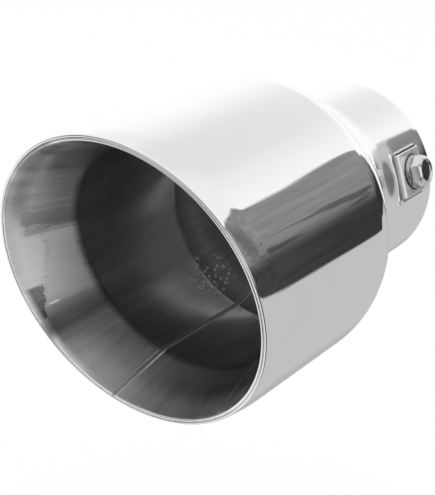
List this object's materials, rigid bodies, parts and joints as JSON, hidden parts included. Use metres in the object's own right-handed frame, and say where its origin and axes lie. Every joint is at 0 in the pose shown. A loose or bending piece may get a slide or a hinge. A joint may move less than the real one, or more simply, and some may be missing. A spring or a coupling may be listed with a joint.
{
  "type": "exhaust tip",
  "caption": "Double-walled bolt-on exhaust tip with a slanted round mouth, a smooth reducing shoulder and a clamped inlet neck.",
  "frame": {"origin": "centre of the inlet's end face, where the tailpipe enters", "axes": "+Y along the tube and out of the inlet, -Y towards the mouth, +Z towards the mouth's long side"},
  "size_m": [0.1016, 0.1524, 0.1016],
  "materials": {
    "outer_shell": "mirror polished stainless steel",
    "inner_liner": "polished at the lip, plain and lightly marked inside",
    "clamp_bolt": "bright stainless steel",
    "clamp_washer": "bright stainless steel",
    "clamp_nut": "plain stainless steel"
  },
  "bodies": {
    "root": {"outer_shell": "outer_shell", "inner_liner": "inner_liner", "clamp_bolt": "clamp_bolt", "clamp_washer": "clamp_washer", "clamp_nut": "clamp_nut"}
  },
  "joints": []
}
